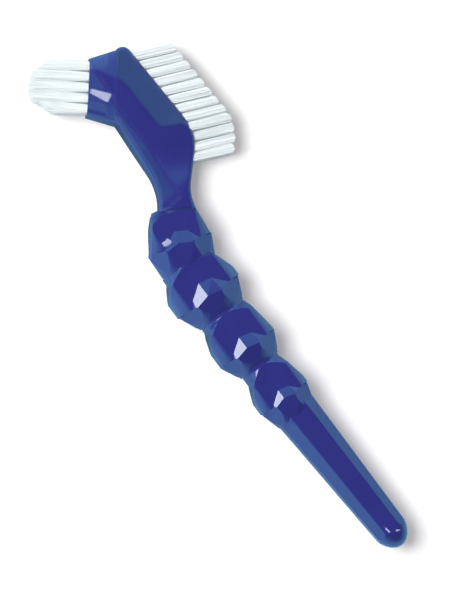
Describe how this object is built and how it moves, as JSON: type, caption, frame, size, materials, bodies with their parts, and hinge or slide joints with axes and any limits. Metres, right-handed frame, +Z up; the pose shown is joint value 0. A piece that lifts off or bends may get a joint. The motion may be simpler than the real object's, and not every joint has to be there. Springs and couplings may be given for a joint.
{
  "type": "denture brush",
  "caption": "Denture brush with a faceted beaded grip, a tapered tail, a long straight bristle field and a small domed one at right angles to the tip.",
  "frame": {"origin": "centre of the outline seen from above, on the surface that the brush lies on", "axes": "+X from the tail's tip towards the head, +Y to the side of the small field, +Z up"},
  "size_m": [0.1876, 0.0528, 0.0229],
  "materials": {
    "handle": "glossy moulded polypropylene",
    "bristles": "straight nylon filaments",
    "anchors": "flat wire"
  },
  "bodies": {
    "root": {"handle": "handle", "long_tufts_01": "bristles", "long_tufts_02": "bristles", "long_tufts_03": "bristles", "long_tufts_04": "bristles", "long_tufts_05": "bristles", "long_tufts_06": "bristles", "long_tufts_07": "bristles", "long_tufts_08": "bristles", "long_tufts_09": "bristles", "long_tufts_10": "bristles", "long_tufts_11": "bristles", "long_tufts_12": "bristles", "small_tufts_01": "bristles", "small_tufts_02": "bristles", "small_tufts_03": "bristles", "small_tufts_04": "bristles", "small_tufts_05": "bristles", "long_anchors": "anchors", "small_anchors": "anchors"}
  },
  "joints": []
}
